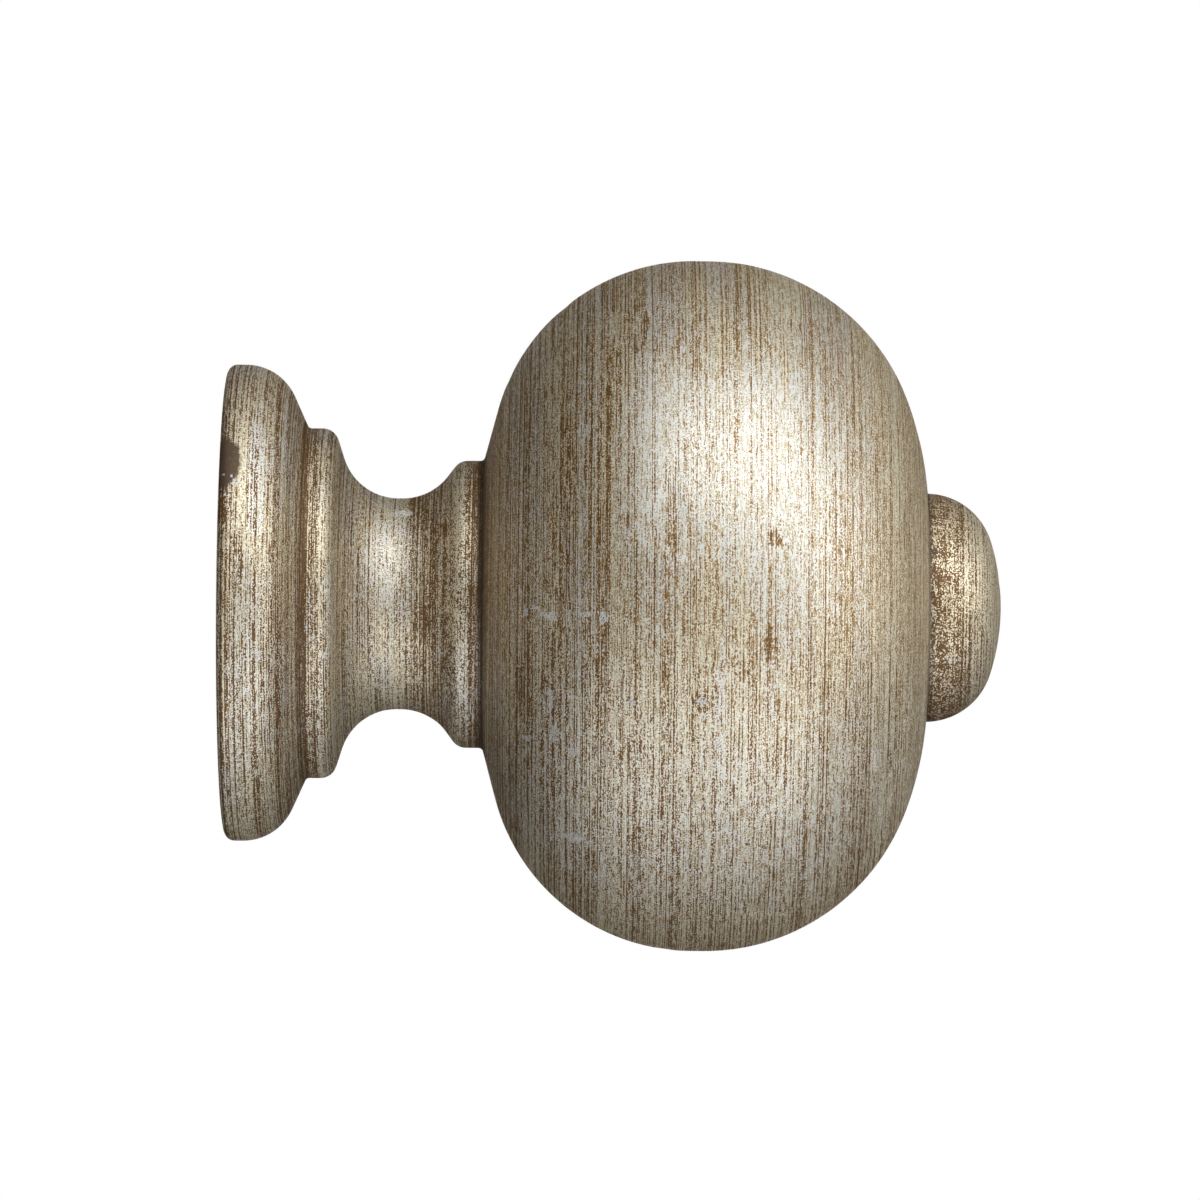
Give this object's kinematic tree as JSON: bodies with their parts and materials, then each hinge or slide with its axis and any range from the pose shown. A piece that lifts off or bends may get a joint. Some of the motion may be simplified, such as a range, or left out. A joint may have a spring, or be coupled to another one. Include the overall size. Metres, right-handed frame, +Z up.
{
  "type": "curtain pole finial",
  "caption": "Turned wooden curtain pole finial: moulded base, waisted neck, bun-shaped ball and end knob, with a blind hole in its back for a dowel screw.",
  "frame": {"origin": "centre of the flat back of the base, at the mouth of the screw hole, where the pole's end meets it", "axes": "+X along the lathe's axis, away from the pole and out through the knob; +Z up; the shape is round about X"},
  "size_m": [0.0975, 0.0868, 0.0869],
  "materials": {
    "gilded_wood": "turned wood with rubbed silver leaf over a brown ground, satin"
  },
  "bodies": {
    "root": {"finial": "gilded_wood"}
  },
  "joints": []
}
